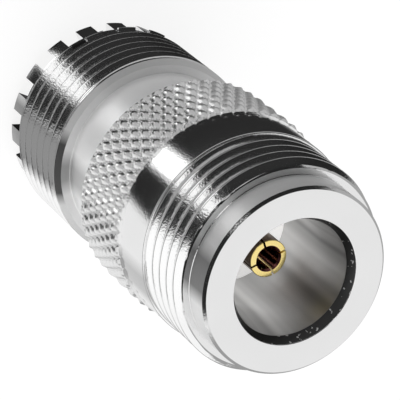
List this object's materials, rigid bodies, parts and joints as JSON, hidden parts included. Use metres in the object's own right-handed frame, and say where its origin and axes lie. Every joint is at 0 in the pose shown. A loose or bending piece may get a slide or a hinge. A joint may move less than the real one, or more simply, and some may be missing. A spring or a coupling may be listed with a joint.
{
  "type": "coaxial adapter",
  "caption": "Coaxial adapter with a female type N jack at one end, a female UHF jack with a toothed rim at the other, and a diamond-knurled grip between the two threads.",
  "frame": {"origin": "middle of the toothed rim of the UHF end, on the plane that the rim stands on", "axes": "+Z along the common axis, from the UHF end to the type N mouth"},
  "size_m": [0.0168, 0.0168, 0.0317],
  "materials": {
    "nickel_plating": "bright nickel plating on turned brass",
    "white_insulator": "smooth turned white plastic",
    "gold_plating": "gold plating on turned brass"
  },
  "bodies": {
    "root": {"n_shell": "nickel_plating", "uhf_shell": "nickel_plating", "n_insulator": "white_insulator", "uhf_insulator": "white_insulator", "n_contact": "gold_plating", "uhf_contact": "gold_plating"}
  },
  "joints": []
}
